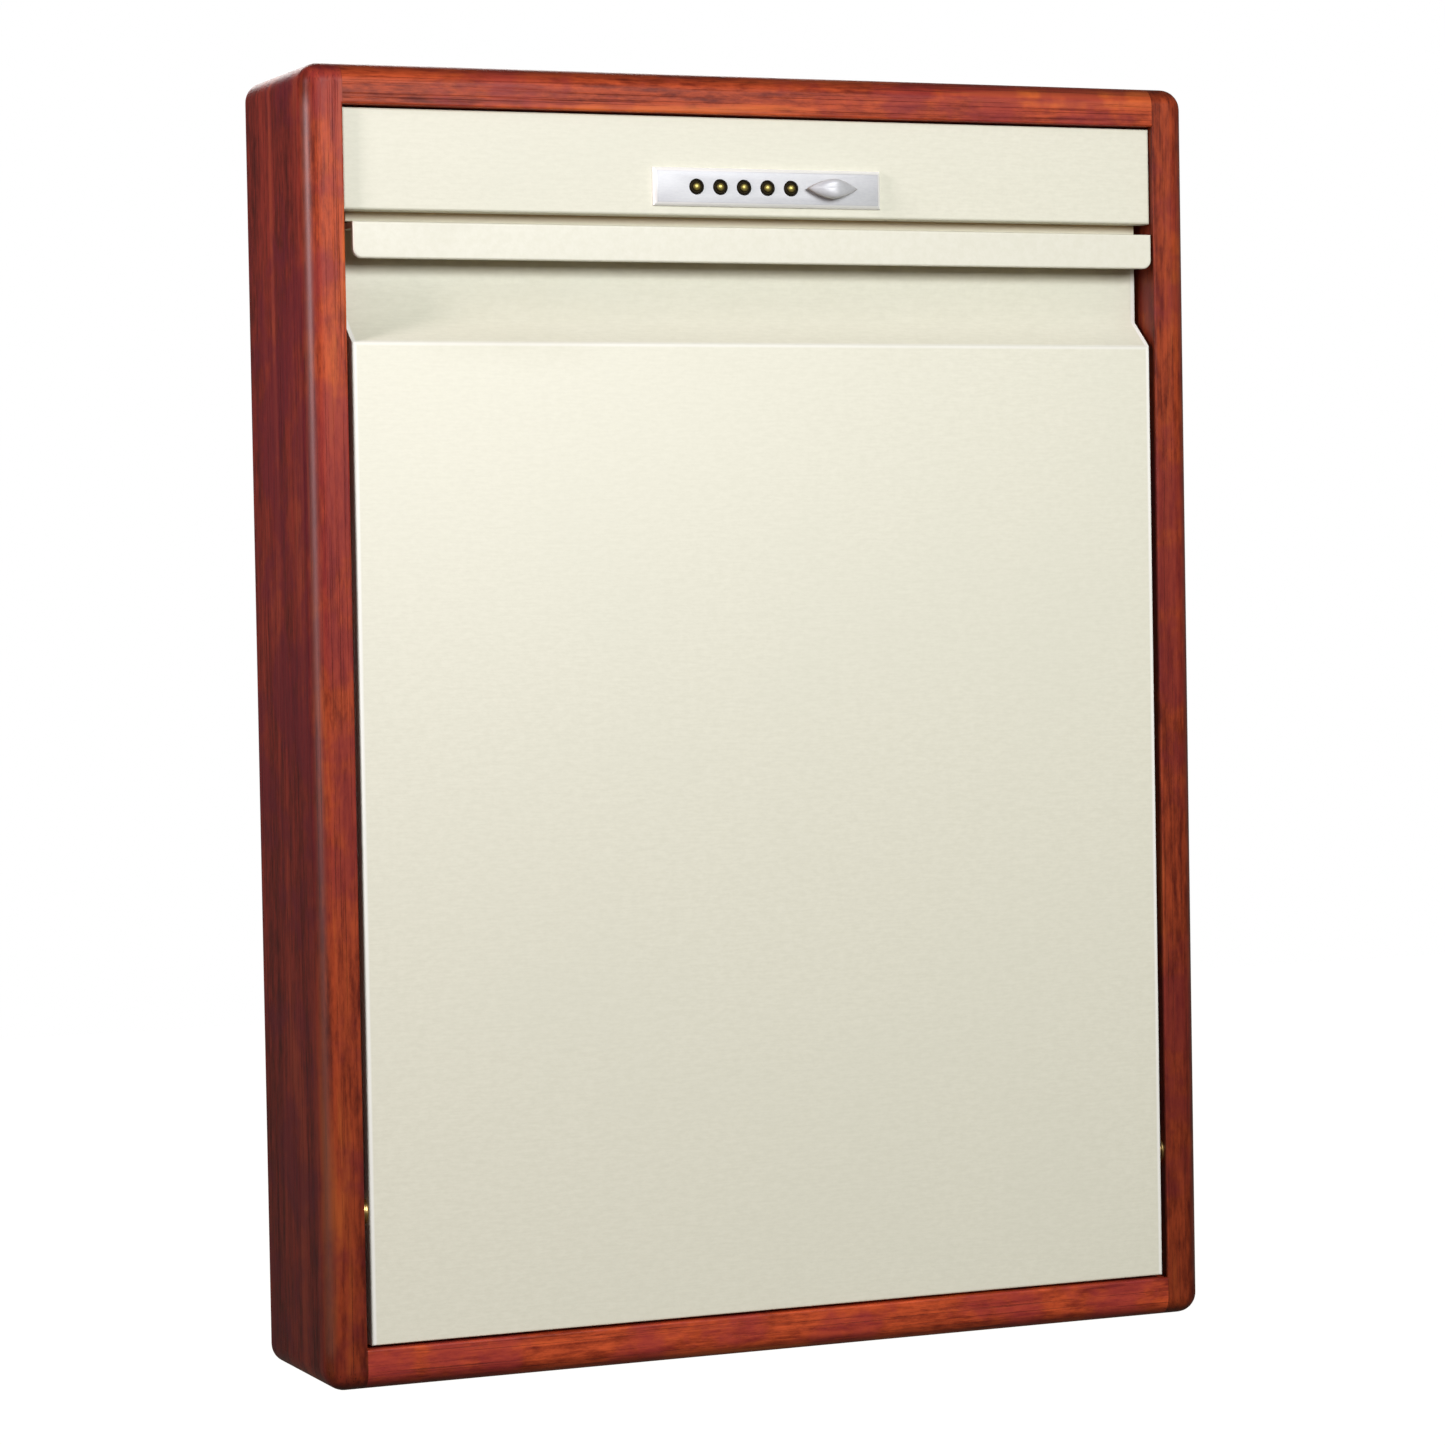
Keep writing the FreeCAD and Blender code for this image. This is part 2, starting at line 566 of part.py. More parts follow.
    make_turn_and_bolt(lock_z, plate_front, inner_front, case_foot)


def make_spring(start, length):
    """A compression spring that stands around a button's stem."""
    rise = length - 2 * SPRING_WIRE_R
    helix = Part.makeHelix(rise / SPRING_TURNS, rise, SPRING_COIL_R)
    section = Part.Wire(Part.makeCircle(SPRING_WIRE_R, point(SPRING_COIL_R, 0, 0), point(0, 1, 0)))
    coil = Part.Wire(helix).makePipeShell([section], True, True)
    turned = FreeCAD.Rotation(point(0, 0, 1), point(0, 1, 0))
    coil.Placement = FreeCAD.Placement(start + point(0, SPRING_WIRE_R, 0), turned)
    return coil


def make_turn_and_bolt(lock_z, plate_front, inner_front, case_foot):
    """The thumb-turn swings a crank through a quarter turn, and the crank's pin drives the latch bolt."""
    def at(y, x=TURN_X, z=lock_z):
        return point(x, y, z)

    back = plate_front - TURN_GAP - TURN_NECK
    face = back - TURN_THICK
    half_long, half_tall = TURN_LONG / 2, TURN_TALL / 2
    side_r = (half_long ** 2 + half_tall ** 2) / (2 * half_tall)
    lifts = (side_r - half_tall, half_tall - side_r)
    upper, lower = [rod(side_r, at(face, z=lock_z + lift), at(back, z=lock_z + lift)) for lift in lifts]
    grip = rounded(upper.common(lower), TURN_TIP_ROUND, lambda b: b.YLength > TURN_THICK - 0.1)
    grip = rounded(grip, TURN_EDGE_ROUND, lambda b: b.YMax < face + 0.01)
    crank_front = inner_front + TURN_WASHER_THICK
    crank_back = crank_front + CRANK_THICK
    neck = rod(1.4 * SPINDLE_R, at(back), at(plate_front - TURN_GAP))
    spindle = rod(SPINDLE_R, at(back), at(crank_back))
    pieces["thumb_turn"] = grip.fuse([neck, spindle]).removeSplitter()
    drill(["lock_plate", "fascia"], rod(SPINDLE_R + BOLT_FIT, at(plate_front - 1), at(fascia_back + 1)))
    drill(["lock_case"], rod(SPINDLE_R + PIN_RUN_FIT, at(fascia_back - 1), at(inner_front + 1)))
    washer_back = crank_front - PIN_RUN_FIT
    pieces["turn_washer"] = ring(2 * SPINDLE_R, SPINDLE_R + BOLT_FIT, at(inner_front), at(washer_back))

    throw = BOLT_TRAVEL / 2
    bolt_front = recess_face + BOLT_BEHIND_RECESS
    bolt_back = bolt_front + BOLT_THICK
    pin_x, pin_z = TURN_X + throw, lock_z + throw
    boss = rod(CRANK_BOSS_R, at(crank_front), at(crank_back))
    eye = rod(CRANK_EYE_R, at(crank_front, pin_x, pin_z), at(crank_back, pin_x, pin_z))
    arm = block(0, throw * math.sqrt(2), 0, CRANK_THICK, -CRANK_EYE_R, CRANK_EYE_R)
    arm.Placement = FreeCAD.Placement(at(crank_front), FreeCAD.Rotation(point(0, 1, 0), -45))
    crank_pin = rod(CRANK_PIN_R, at(crank_back, pin_x, pin_z), at(bolt_back + CRANK_PIN_FIT, pin_x, pin_z))
    crank = boss.fuse([eye, arm, crank_pin]).removeSplitter()
    pieces["turn_crank"] = crank.cut(rod(SPINDLE_R, at(crank_front), at(crank_back)))

    # The pin moves sideways from throw to throw times root two, and the slot gives it that much and a fit.
    tip = door_head + BOLT_ABOVE_DOOR
    slot_half = CRANK_PIN_R + CRANK_PIN_FIT
    head_half = slot_half + BOLT_HEAD_RIM
    bolt_x = TURN_X + BOLT_WIDE
    tongue = block(TURN_X, bolt_x, bolt_front, bolt_back, tip, pin_z)
    head = block(TURN_X - BOLT_SHOULDER, bolt_x + BOLT_SHOULDER, bolt_front, bolt_back,
                 pin_z - head_half, pin_z + head_half)
    pin_reach = TURN_X + throw * math.sqrt(2)
    slot = block(pin_x - slot_half, pin_reach + slot_half, bolt_front - 1, bolt_back + 1,
                 pin_z - slot_half, pin_z + slot_half)
    pieces["latch_bolt"] = head.fuse(tongue).removeSplitter().cut(slot)
    way = block(TURN_X - BOLT_FIT, bolt_x + BOLT_FIT, bolt_front - BOLT_FIT, bolt_back + BOLT_FIT,
                case_foot - 1, case_foot + CASE_WALL + 1)
    drill(["lock_case"], way)


make_case()
make_back()
make_shelf()
make_closing_stops()
make_fascia()
make_door()
make_pull_rail()
make_strike()
make_pivots()
make_lock()

for name, shape in pieces.items():
    shape.exportStep(f"parts/{name}.step")
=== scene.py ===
import math

import bmesh
import bpy
from mathutils import Matrix, Vector


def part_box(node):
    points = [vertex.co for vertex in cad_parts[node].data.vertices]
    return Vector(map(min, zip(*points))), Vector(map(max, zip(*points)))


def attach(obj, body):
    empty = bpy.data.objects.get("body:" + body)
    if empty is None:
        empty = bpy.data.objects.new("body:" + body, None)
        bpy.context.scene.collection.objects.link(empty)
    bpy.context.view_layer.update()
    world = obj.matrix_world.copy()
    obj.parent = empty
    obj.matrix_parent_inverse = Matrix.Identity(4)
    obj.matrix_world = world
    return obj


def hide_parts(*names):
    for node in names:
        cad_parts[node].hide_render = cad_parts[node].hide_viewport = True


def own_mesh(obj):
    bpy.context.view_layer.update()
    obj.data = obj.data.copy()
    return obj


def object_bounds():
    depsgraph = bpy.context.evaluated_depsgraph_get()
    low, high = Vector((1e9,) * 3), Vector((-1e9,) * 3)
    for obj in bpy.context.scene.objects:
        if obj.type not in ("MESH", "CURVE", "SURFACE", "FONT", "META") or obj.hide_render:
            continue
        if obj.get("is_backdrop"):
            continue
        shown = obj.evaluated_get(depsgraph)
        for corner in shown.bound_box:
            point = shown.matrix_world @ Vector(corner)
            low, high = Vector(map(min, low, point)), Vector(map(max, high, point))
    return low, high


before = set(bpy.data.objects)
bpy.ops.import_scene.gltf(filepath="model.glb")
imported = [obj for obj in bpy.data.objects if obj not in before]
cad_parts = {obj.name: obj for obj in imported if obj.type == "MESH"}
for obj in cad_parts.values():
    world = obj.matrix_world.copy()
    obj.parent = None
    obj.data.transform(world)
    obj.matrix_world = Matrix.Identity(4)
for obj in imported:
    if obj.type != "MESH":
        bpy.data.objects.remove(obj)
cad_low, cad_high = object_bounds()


# The view. The camera stands two metres off, to the left of the cabinet and a little above its middle.
# Its lens is long, so that the boards hardly converge, and it is held very slightly out of level.
camera_place, lens, film_width = (-0.8270, -1.9652, 0.0646), 107.1, 36.0
heading, tilt, roll = math.radians(23.10), math.radians(-1.87), math.radians(-1.01)
camera = bpy.data.objects.new("camera", bpy.data.cameras.new("camera"))
camera.data.lens, camera.data.sensor_width = lens, film_width
facing = Matrix.Rotation(-heading, 4, "Z") @ Matrix.Rotation(math.pi / 2 + tilt, 4, "X")
camera.matrix_world = Matrix.Translation(camera_place) @ facing @ Matrix.Rotation(roll, 4, "Z")
bpy.context.scene.collection.objects.link(camera)
bpy.context.scene.camera = camera
bpy.context.scene.view_settings.view_transform = "Standard"


# The studio. The cabinet hangs at working height, so the pale floor lies well below it. Floor and sweep
# look white, but the floor throws no light back and the sweep very little. A wide softbox lights the
# front, a narrow one draws a line of light down the rounded left edge, and a third lights the back.
class Flow:
    """A value, a colour or a vector on its way through the nodes of one material."""

    def __init__(self, tree, socket):
        self.tree, self.socket = tree, socket

    def add(self, kind, settings, inputs, output=0):
        """Adds a node. Its settings are made first, and then the values or links of its sockets."""
        node = self.tree.nodes.new("ShaderNode" + kind)
        for key, value in settings.items():
            setattr(node, key, value)
        for key, value in inputs.items():
            if isinstance(value, Flow):
                self.tree.links.new(value.socket, node.inputs[key])
            else:
                node.inputs[key].default_value = value
        return Flow(self.tree, node.outputs[output])

    def math(self, operation, first, second=0.0):
        return self.add("Math", {"operation": operation}, {0: first, 1: second})

    def __add__(self, other):
        return self.math("ADD", self, other)

    def __radd__(self, other):
        return self.math("ADD", other, self)

    def __sub__(self, other):
        return self.math("SUBTRACT", self, other)

    def __rsub__(self, other):
        return self.math("SUBTRACT", other, self)

    def __mul__(self, other):
        return self.math("MULTIPLY", self, other)

    def __rmul__(self, other):
        return self.math("MULTIPLY", other, self)

    def __truediv__(self, other):
        return self.math("DIVIDE", self, other)

    def __abs__(self):
        return self.math("ABSOLUTE", self)

    def larger(self, other):
        return self.math("MAXIMUM", self, other)

    def fraction(self):
        return self.math("FRACT", self)

    def rise(self, low, high):
        """Goes smoothly from 0 to 1 as this value passes from low to high."""
        sockets = {"Value": self, "From Min": low, "From Max": high}
        return self.add("MapRange", {"interpolation_type": "SMOOTHSTEP"}, sockets)

    def blend(self, low, high):
        """A colour that goes from low to high as this value goes from 0 to 1."""
        low, high = [end if isinstance(end, Flow) else (*end, 1.0) for end in (low, high)]
        return self.add("Mix", {"data_type": "RGBA"}, {0: self, 6: low, 7: high}, 2)

    def dimmed(self, share):
        """This colour times a value."""
        return self.add("VectorMath", {"operation": "SCALE"}, {0: self, "Scale": share})

    def moved(self, x, y, z):
        return self.add("VectorMath", {"operation": "ADD"}, {0: self, 1: (x, y, z)})

    def stretched(self, x, y, z):
        return self.add("VectorMath", {"operation": "MULTIPLY"}, {0: self, 1: (x, y, z)})

    def length(self):
        return self.add("VectorMath", {"operation": "LENGTH"}, {0: self}, "Value")

    def along(self, axis):
        return self.add("SeparateXYZ", {}, {0: self}, "XYZ".index(axis))

    def noise(self, scale, detail=3.0, roughness=0.5, distortion=0.0):
        sockets = {"Vector": self, "Scale": scale, "Detail": detail, "Roughness": roughness,
                   "Distortion": distortion}
        return self.add("TexNoise", {}, sockets)


def new_finish(name):
    """Starts a material. Gives it and the place on the piece, in metres."""
    finish = bpy.data.materials.new(name)
    finish.use_nodes = True
    place = finish.node_tree.nodes.new("ShaderNodeTexCoord").outputs["Object"]
    return finish, Flow(finish.node_tree, place)


def lay_on(finish, colour, roughness, relief, rise, fixed):
    """Feeds a material's shader. Colour, roughness and relief vary over the piece, and relief is the
    height in units of rise, in metres. What is fixed is the same all over it."""
    shader = finish.node_tree.nodes["Principled BSDF"]
    normal = relief.add("Bump", {}, {"Height": relief, "Distance": rise, "Strength": 1.0})
    for socket, flow in {"Base Color": colour, "Roughness": roughness, "Normal": normal}.items():
        finish.node_tree.links.new(flow.socket, shader.inputs[socket])
    for socket, value in fixed.items():
        shader.inputs[socket].default_value = value


floor_below, floor_half = 1.1, 12.0
floor_glow = {"Emission Color": (1.0, 1.0, 1.0, 1.0), "Emission Strength": 0.9}
floor_finish, place = new_finish("studio_floor")
scuffs = place.noise(3.0, 4.0)
lay_on(floor_finish, scuffs.blend((0.80, 0.80, 0.79), (0.84, 0.84, 0.83)), scuffs * 0.2 + 0.6,
       place.noise(40.0), 0.0005, floor_glow)
mesh = bmesh.new()
bmesh.ops.create_grid(mesh, x_segments=1, y_segments=1, size=floor_half)
bmesh.ops.translate(mesh, verts=mesh.verts, vec=(0, 0, cad_low.z - floor_below))
floor_data = bpy.data.meshes.new("floor")
mesh.to_mesh(floor_data)
mesh.free()
floor_data.materials.append(floor_finish)
floor = bpy.data.objects.new("floor", floor_data)
bpy.context.scene.collection.objects.link(floor)
floor.visible_diffuse = floor.visible_glossy = False
floor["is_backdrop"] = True

sweep_light, sweep_white = (0.165, 0.150, 0.126), (1.0, 1.0, 1.0)
world = bpy.data.worlds.new("studio")
world.use_nodes = True
sweep = world.node_tree
seen = Flow(sweep, sweep.nodes.new("ShaderNodeLightPath").outputs["Is Camera Ray"])
sweep_colour = seen.blend(sweep_light, sweep_white)
sweep.links.new(sweep_colour.socket, sweep.nodes["Background"].inputs["Color"])
bpy.context.scene.world = world


def softbox(name, place, aim, wide, tall, watts, colour):
    """A rectangular studio light that faces a point."""
    light = bpy.data.lights.new(name, "AREA")
    light.shape = "RECTANGLE"
    light.size, light.size_y = wide, tall
    light.energy, light.color = watts, colour
    lamp = bpy.data.objects.new(name, light)
    turned_to = (Vector(aim) - Vector(place)).to_track_quat("-Z", "Y").to_matrix().to_4x4()
    lamp.matrix_world = Matrix.Translation(place) @ turned_to
    lamp.visible_camera = False
    bpy.context.scene.collection.objects.link(lamp)


softbox("front_softbox", (0.3, -2.3, 0.85), (0.0, 0.0, 0.1), 1.4, 0.8, 42.0, (0.985, 1.0, 0.985))
softbox("edge_strip", (-2.22, -0.62, 0.74), (-0.2, -0.08, 0.25), 0.34, 0.9, 31.0, (1.0, 0.88, 0.93))
softbox("back_fill", (0.5, 2.6, 1.6), (0.0, 0.0, 0.0), 1.6, 1.2, 30.0, (1.0, 0.99, 0.97))


# The case. Four boards of open-grained hardwood, doweled and glued at the corners, then routed round as
# one and stained red-brown under satin lacquer. The grain runs along each board, so the tops of the
# stiles show end grain.
wood_deep, wood_warm, wood_amber = (0.125, 0.012, 0.006), (0.50, 0.076, 0.023), (0.68, 0.17, 0.036)
wood_plum, wood_pore = (0.25, 0.026, 0.030), (0.030, 0.004, 0.003)
# Painted shade: a cool dark tint for the outer faces of the case.
side_shade_tint = (0.36, 0.17, 0.72, 1.0)
upright, level = (1.0, 1.0, 0.06), (0.06, 1.0, 1.0)
edge_round = 0.009
case_front, inner_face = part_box("stile_left")[0].y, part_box("stile_right")[0].x


def dress(finish, *nodes):
    """Gives CAD pieces a finish in place of their plain one."""
    for node in nodes:
        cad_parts[node].data.materials.clear()
        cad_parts[node].data.materials.append(finish)


def stained_board(node, squeeze, shift, depth, foot_shade, inner_shade):
    """Stain and lacquer on one board. The squeeze draws the grain out along it, the shift gives it a
    figure of its own, the stain's depth differs too, and so does the painted shade at the foot and inside."""
    finish, place = new_finish("stained_" + node)
    board = place.moved(*shift)
    grain = board.stretched(*squeeze)
    figure = grain.noise(60.0, 5.0, 0.6, 0.6)
    fibre = grain.noise(420.0, 5.0, 0.65)
    fleck = board.stretched(*[share ** 0.5 for share in squeeze]).noise(330.0, 4.0, 0.7)
    pores = grain.stretched(*squeeze).noise(2400.0, 2.0).rise(0.60, 0.70)
    drift = board.noise(21.0, 4.0, 0.65)
    tone = figure * 0.40 + fibre * 0.26 + fleck * 0.34
    colour = tone.rise(0.36, 0.60).blend(wood_deep, wood_warm)
    colour = (figure.rise(0.52, 0.68) * 0.5).blend(colour, wood_amber)
    colour = (drift.rise(0.44, 0.60) * 0.6).blend(colour, wood_plum)
    colour = (pores * 0.55).blend(colour, wood_pore)

    # The stain gathers along the routed edge, where the cutter has opened the grain.
    side = abs(place.along("X")).rise(cad_high.x - 0.8 * edge_round, cad_high.x - 0.1 * edge_round)
    ends = abs(place.along("Z")).rise(cad_high.z - 0.8 * edge_round, cad_high.z - 0.1 * edge_round)
    gathered = side.larger(ends)
    # Painted shade: the stiles darken towards their foot, and on their inner faces beside the door.
    foot = 1.0 - place.along("Z").rise(cad_low.z - 0.1, cad_high.z)
    inside = 1.0 - abs(place.along("X")).rise(inner_face + 0.00001, inner_face + 0.00035)

    # Painted shade: the outer faces are darkened to a cooler red than the front.
    outer = side * place.along("Y").rise(case_front + 0.4 * edge_round, case_front + 0.9 * edge_round)
    shaded_sides = colour.add("Mix", {"data_type": "RGBA", "blend_type": "MULTIPLY"},
                      {0: 1.0, 6: colour, 7: side_shade_tint}, 2)
    colour = (outer * 0.75).blend(colour, shaded_sides)
    # The painted shade at the foot and on the inner faces is multiplied in here.
    colour = colour.dimmed((1.0 - gathered * (1.0 - outer) * 0.58) * (1.0 - foot * foot_shade)
                           * (1.0 - inside * inner_shade) * depth)
    roughness = 0.30 + fibre * 0.16 + pores * 0.2
    lay_on(finish, colour, roughness, fibre * 0.4 - pores, 0.00008,
           {"Coat Roughness": 0.42, "Specular IOR Level": 0.12})

    # Lacquer lies thickest where it runs over the rounded edge, and thins out towards the corners.
    thin_from, thin_to = cad_high.z - 0.022, cad_high.z - 0.012
    rounded = side * (1.0 - place.along("Y").rise(case_front + 0.4 * edge_round, case_front + edge_round))
    rounded = rounded * (1.0 - abs(place.along("Z")).rise(thin_from, thin_to))
    coat = finish.node_tree.nodes["Principled BSDF"].inputs["Coat Weight"]
    finish.node_tree.links.new((rounded * 0.95 + 0.03).socket, coat)
    dress(finish, node)


stained_board("stile_left", upright, (0.0, 0.0, 0.0), 1.26, 0.62, 0.45)
stained_board("stile_right", upright, (0.31, 0.07, 0.5), 0.88, 0.42, 0.45)
stained_board("top_rail", level, (0.2, 0.4, 0.13), 1.2, 0.0, 0.0)
stained_board("bottom_rail", level, (0.7, 0.9, 0.36), 1.32, 0.0, 0.0)


# Corner dowels and batten dowels. Plain birch dowels, glued into bores in both boards of a joint. They
# are out of sight once the case is glued up.
def bare_wood(name, squeeze, shift, pale, dark):
    """Hardwood without stain, under a thin clear lacquer."""
    finish, place = new_finish(name)
    grain = place.moved(*shift).stretched(*squeeze)
    figure = grain.noise(70.0, 4.0, 0.55, 0.4)
    fibre = grain.noise(600.0, 4.0, 0.6)
    pores = grain.stretched(*squeeze).noise(2600.0, 2.0).rise(0.62, 0.72)
    colour = (figure * 0.6 + fibre * 0.4).rise(0.3, 0.7).blend(dark, pale)
    colour = (pores * 0.45).blend(colour, (0.16, 0.085, 0.04))
    lay_on(finish, colour, fibre * 0.15 + 0.42, fibre * 0.5 - pores, 0.00006,
           {"Coat Weight": 0.1, "Coat Roughness": 0.3})
    return finish


birch = bare_wood("birch_dowel", level, (0.0, 0.3, 0.0), (0.66, 0.50, 0.33), (0.50, 0.34, 0.20))
dress(birch, "corner_dowels", "batten_dowels")


# The back. A lacquered veneer panel drops into a rabbet all round and is screwed to the boards from
# behind. Its faces are veneer with an upright grain, and its plies show as layers wherever it is cut.
def veneer_panel(name, squeeze, layer_axis, ply):
    """Plywood: veneer on the faces, and plies in turn along one axis on the cut edges and in the bores."""
    finish, place = new_finish(name)
    grain = place.stretched(*squeeze)
    figure = grain.noise(30.0, 5.0, 0.6, 1.2)
    fibre = grain.noise(500.0, 4.0, 0.6)
    flame = abs((figure * 7.0).fraction() - 0.5) * 2.0
    colour = (flame * 0.35 + fibre * 0.65).rise(0.25, 0.75).blend((0.36, 0.21, 0.105), (0.58, 0.39, 0.22))
    layer = (place.along(layer_axis) / (2.0 * ply)).fraction()
    colour = (layer.rise(0.46, 0.54) * 0.35).blend(colour, (0.26, 0.15, 0.08))
    lay_on(finish, colour, fibre * 0.18 + 0.45, fibre, 0.00005, {"Coat Weight": 0.08})
    return finish


back_ply = 0.00127
dress(veneer_panel("back_veneer", upright, "Y", back_ply), "back_panel")


# Screws. Zinc-plated steel with countersunk heads and a square drive, driven flush. Turning marks run
# round the heads, and the plating is a little clouded.
def plated_steel(name, pale, dark, roughness, brushed):
    """Zinc-plated or bright steel. The brushing draws its fine scratches out along one axis."""
    finish, place = new_finish(name)
    scratches = place.stretched(*brushed).noise(1900.0, 3.0, 0.6)
    cloud = place.noise(90.0, 3.0, 0.55, 0.5)
    spots = place.noise(700.0, 2.0).rise(0.66, 0.74)
    colour = cloud.rise(0.3, 0.7).blend(dark, pale)
    colour = (spots * 0.3).blend(colour, (0.20, 0.18, 0.15))
    lay_on(finish, colour, roughness + scratches * 0.18 + spots * 0.2, scratches, 0.00002,
           {"Metallic": 1.0})
    return finish


screw_steel = plated_steel("screw_steel", (0.62, 0.60, 0.55), (0.48, 0.46, 0.42), 0.26, (1.0, 1.0, 1.0))
dress(screw_steel, "back_panel_screws", "wall_rail_screws", "shelf_screws", "closing_stop_screws",
      "fascia_screws", "guard_screws", "cover_screws", "lock_screws", "pull_rail_screws")


# Wall rails. Two hardwood rails across the back, screwed up and down into the case. The four screws
# that hold the cabinet to the wall pass through them, so they carry its weight. Their arrises are eased.
wood_arris, sharpest_smooth = 0.0006, math.radians(28)


def keep_piece(name, mesh, finish, body, replaced):
    """Makes a finished bmesh an object that rides on a body in place of a CAD piece."""
    data = bpy.data.meshes.new(name)
    mesh.to_mesh(data)
    mesh.free()
    data.materials.append(finish)
    data.shade_smooth()
    data.set_sharp_from_angle(angle=sharpest_smooth)
    piece = bpy.data.objects.new(name, data)
    bpy.context.scene.collection.objects.link(piece)
    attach(piece, body)
    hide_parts(replaced)
    return piece


def ease(node, body, finish, width, shortest=0.004):
    """A copy of a CAD piece with its long sharp edges broken, which takes the piece's place."""
    mesh = bmesh.new()
    mesh.from_mesh(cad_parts[node].data)
    bmesh.ops.remove_doubles(mesh, verts=mesh.verts, dist=1e-6)
    bmesh.ops.dissolve_limit(mesh, angle_limit=math.radians(0.5), verts=mesh.verts, edges=mesh.edges)
    sharp = [edge for edge in mesh.edges if edge.is_manifold and edge.calc_length() > shortest
             and abs(edge.calc_face_angle_signed()) > math.radians(30)]
    bmesh.ops.bevel(mesh, geom=sharp, offset=width, offset_type="OFFSET", affect="EDGES", segments=2,
                    profile=0.5, material=-1, clamp_overlap=True)
    bmesh.ops.remove_doubles(mesh, verts=mesh.verts, dist=2e-5)
    bmesh.ops.dissolve_degenerate(mesh, edges=mesh.edges, dist=1e-6)
    keep_piece(node + "_eased", mesh, finish, body, node)


rail_wood = bare_wood("wall_rail_wood", level, (0.4, 0.0, 0.2), (0.56, 0.37, 0.205), (0.40, 0.235, 0.12))
ease("upper_wall_rail", "case", rail_wood, wood_arris)
ease("lower_wall_rail", "case", rail_wood, wood_arris)


# The shelf and its batten. The shelf is veneered plywood, screwed down on a hardwood batten that is
# doweled between the stiles. The batten also takes the foot of the open door, on four rubber bumpers.
shelf_ply = 0.0019
shelf_veneer = veneer_panel("shelf_veneer", level, "Z", shelf_ply)
batten_wood = bare_wood("batten_wood", level, (0.9, 0.2, 0.6), (0.58, 0.39, 0.22), (0.42, 0.25, 0.13))
ease("shelf", "case", shelf_veneer, wood_arris)
ease("stop_batten", "case", batten_wood, wood_arris)


# Rubber bumpers. Black moulded buttons with a domed face and a hollow middle, glued to the batten and to
# the two closing stops. The open door lands on four of them, and the shut door leans on two.
bumper_r = 0.006
rubber, place = new_finish("bumper_rubber")
bloom = place.noise(260.0, 4.0, 0.6)
lay_on(rubber, bloom.rise(0.35, 0.75).blend((0.018, 0.018, 0.018), (0.052, 0.050, 0.048)),
       bloom * 0.25 + 0.6, place.noise(1500.0, 2.0), 0.00004, {})


def turned(mesh, outline, centre, axis, steps=40):
    """Turns an outline of radii and distances about an axis, as on a lathe, from the centre on."""
    across = axis.orthogonal().normalized()
    points = [mesh.verts.new(centre + across * radius + axis * far) for radius, far in outline]
    edges = [mesh.edges.new(pair) for pair in zip(points, points[1:])]
    bmesh.ops.spin(mesh, geom=points + edges, cent=centre, axis=axis, angle=math.tau, steps=steps,
                   use_merge=True)
    bmesh.ops.remove_doubles(mesh, verts=mesh.verts, dist=1e-6)
    bmesh.ops.recalc_face_normals(mesh, faces=mesh.faces)


def bumpers(node, axis, centres):
    """Domed buttons in place of a group of plain ones. The axis points from the base to the face."""
    low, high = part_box(node)
    height = abs((high - low).dot(axis))
    shoulder, dome_r = 0.45 * height, 0.72 * bumper_r
    outline = [(0.0, 0.0), (bumper_r, 0.0), (bumper_r, shoulder)]
    for step in range(1, 7):
        lean = math.radians(15 * step)
        outline.append((dome_r + (bumper_r - dome_r) * math.cos(lean),
                        shoulder + (height - shoulder) * math.sin(lean)))
    outline += [(0.42 * bumper_r, height), (0.30 * bumper_r, 0.88 * height), (0.0, 0.80 * height)]
    mesh = bmesh.new()
    for centre in centres:
        turned(mesh, outline, centre, axis)
    keep_piece(node + "_moulded", mesh, rubber, "case", node)


low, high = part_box("stop_bumpers")
middle_y = (low.y + high.y) / 2
first, last = low.x + bumper_r, high.x - bumper_r
bumpers("stop_bumpers", Vector((0, 0, -1)),
        [Vector((first + (last - first) * i / 3, middle_y, high.z)) for i in range(4)])
low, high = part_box("closing_bumpers")
middle_z = (low.z + high.z) / 2
bumpers("closing_bumpers", Vector((0, -1, 0)),
        [Vector((x, high.y, middle_z)) for x in (low.x + bumper_r, high.x - bumper_r)])


# Closing stops. A small hardwood block is screwed to each stile behind the door's head. The shut door
# comes to rest against the bumper on its face.
stop_wood = bare_wood("closing_stop_wood", upright, (0.1, 0.6, 0.3), (0.55, 0.36, 0.20), (0.40, 0.24, 0.125))
stop_arris = 0.0008
ease("closing_stop_left", "case", stop_wood, stop_arris)
ease("closing_stop_right", "case", stop_wood, stop_arris)


# Pivots. Each steel pin is held in a brass sleeve in the door and runs in a flanged brass bush in the
# stile, with a brass washer between. A set screw behind the door locks the pin.
brass, place = new_finish("pivot_brass")
turning = place.stretched(1.0, 0.15, 0.15).noise(2200.0, 3.0)
tarnish = place.noise(150.0, 4.0, 0.6)
colour = tarnish.rise(0.35, 0.75).blend((0.86, 0.60, 0.25), (0.52, 0.33, 0.12))
lay_on(brass, colour, tarnish * 0.3 + 0.18, turning, 0.00002, {"Metallic": 1.0})
dress(brass, "pivot_bush_left", "pivot_bush_right", "pivot_washer_left", "pivot_washer_right",
      "pivot_sleeve_left", "pivot_sleeve_right")
pin_steel = plated_steel("pin_steel", (0.66, 0.65, 0.63), (0.52, 0.51, 0.49), 0.2, (1.0, 0.1, 0.1))
dress(pin_steel, "pivot_pin_left", "pivot_pin_right", "pivot_set_screws")


# The fascia. A fixed board over the door, wrapped in the same cream foil as the door, with a guard strip
# on its back that hangs behind the gap, in front of the latch bolt. Steel angles hold it to the stiles.
foil_pale, foil_dark = (0.845, 0.835, 0.715), (0.785, 0.775, 0.655)


